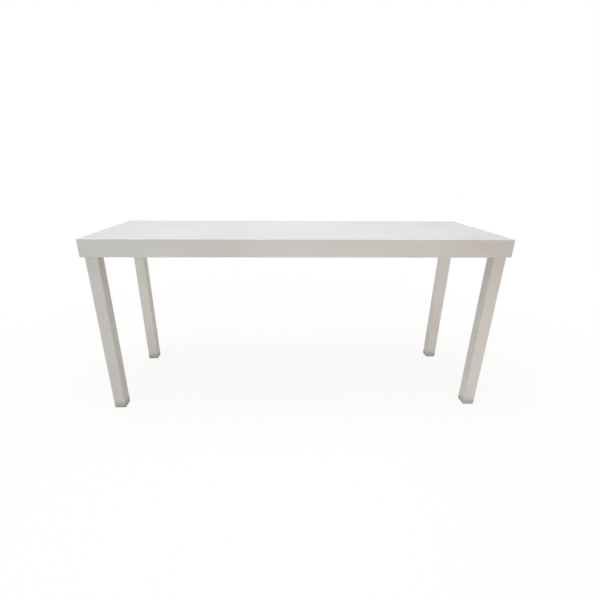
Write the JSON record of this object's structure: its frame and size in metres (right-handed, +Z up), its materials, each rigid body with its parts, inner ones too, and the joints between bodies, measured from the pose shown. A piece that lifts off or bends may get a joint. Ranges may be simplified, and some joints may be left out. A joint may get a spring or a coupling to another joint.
{
  "type": "bar table",
  "caption": "Plain white bar table: rectangular board top with a deep mitred apron, on square legs drawn into its corners by steel brackets, for standing or high stools.",
  "frame": {"origin": "on the floor under the middle of the table top", "axes": "+X along the table, +Y from its front to its back, +Z up"},
  "size_m": [2.4, 0.75, 1.1],
  "materials": {
    "white_paint": "satin white sprayed paint on board and dressed timber, scuffed at the feet",
    "bare_pine": "planed pine, bare",
    "zinc_steel": "bright zinc plate on pressed and rolled steel",
    "grey_plastic": "grey moulded plastic, worn by floors"
  },
  "bodies": {
    "root": {"top_panel": "white_paint", "front_apron": "white_paint", "back_apron": "white_paint", "left_apron": "white_paint", "right_apron": "white_paint", "front_left_leg": "white_paint", "front_right_leg": "white_paint", "back_right_leg": "white_paint", "back_left_leg": "white_paint", "left_rail": "bare_pine", "middle_rail": "bare_pine", "right_rail": "bare_pine", "left_batten": "bare_pine", "right_batten": "bare_pine", "rail_dowels": "bare_pine", "mitre_splines": "bare_pine", "front_batten_1": "bare_pine", "front_batten_2": "bare_pine", "front_batten_3": "bare_pine", "front_batten_4": "bare_pine", "back_batten_1": "bare_pine", "back_batten_2": "bare_pine", "back_batten_3": "bare_pine", "back_batten_4": "bare_pine", "front_left_bracket": "zinc_steel", "front_right_bracket": "zinc_steel", "back_right_bracket": "zinc_steel", "back_left_bracket": "zinc_steel", "hanger_bolts": "zinc_steel", "washers": "zinc_steel", "wing_nuts": "zinc_steel", "bracket_screws": "zinc_steel", "glide_screws": "zinc_steel", "batten_screws": "zinc_steel", "front_left_glide": "grey_plastic", "front_right_glide": "grey_plastic", "back_right_glide": "grey_plastic", "back_left_glide": "grey_plastic"}
  },
  "joints": []
}
